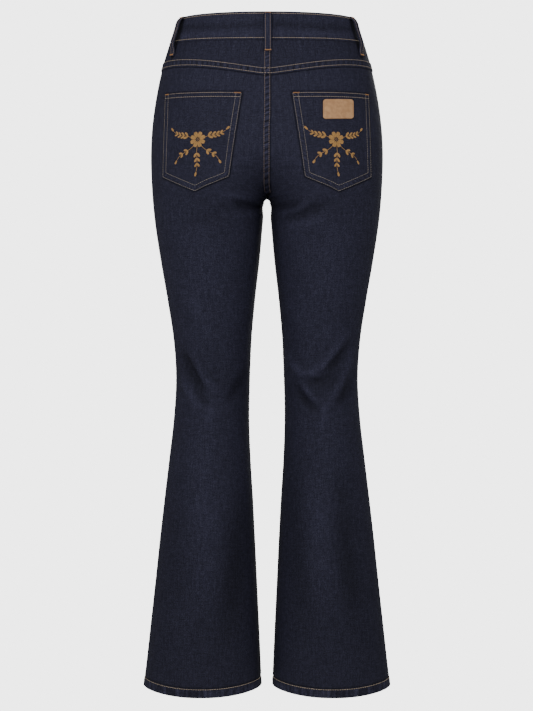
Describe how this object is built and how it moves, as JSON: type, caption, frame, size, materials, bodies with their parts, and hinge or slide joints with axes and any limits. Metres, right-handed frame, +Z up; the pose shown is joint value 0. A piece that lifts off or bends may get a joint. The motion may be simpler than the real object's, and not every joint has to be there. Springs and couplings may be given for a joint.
{
  "type": "bootcut jeans",
  "caption": "Dark indigo bootcut jeans in their worn, hollow shape, fitted to the knee and flared to an open hem, with yoke, patch pockets and belt loops.",
  "frame": {"origin": "middle of the waist opening, level with the top edge of the waistband at the centre back, where the wearer holds the jeans up", "axes": "+Z up, out of the waist; +Y towards the back of the jeans; +X towards the wearer's left"},
  "size_m": [0.3812, 0.2443, 1.0377],
  "materials": {
    "denim": "dark indigo warp twill, unwashed, soft sheen",
    "patch_leather": "tan leather, plain, smooth grain",
    "zip_tape": "navy woven tape with metal teeth",
    "brass": "antique brass, satin",
    "thread": "tan topstitching thread"
  },
  "bodies": {
    "root": {"waistband": "denim", "yoke_left": "denim", "yoke_right": "denim", "back_panel_left": "denim", "back_panel_right": "denim", "front_panel_left": "denim", "front_panel_right": "denim", "hip_facing_left": "denim", "hip_facing_right": "denim", "back_pocket_left": "denim", "back_pocket_right": "denim", "hem_left": "denim", "hem_right": "denim", "patch": "patch_leather", "belt_loop_back": "denim", "belt_loop_side_left": "denim", "belt_loop_side_right": "denim", "belt_loop_front_left": "denim", "belt_loop_front_right": "denim", "fly_shield": "denim", "zip": "zip_tape", "zip_slider": "brass", "button": "brass"}
  },
  "joints": []
}
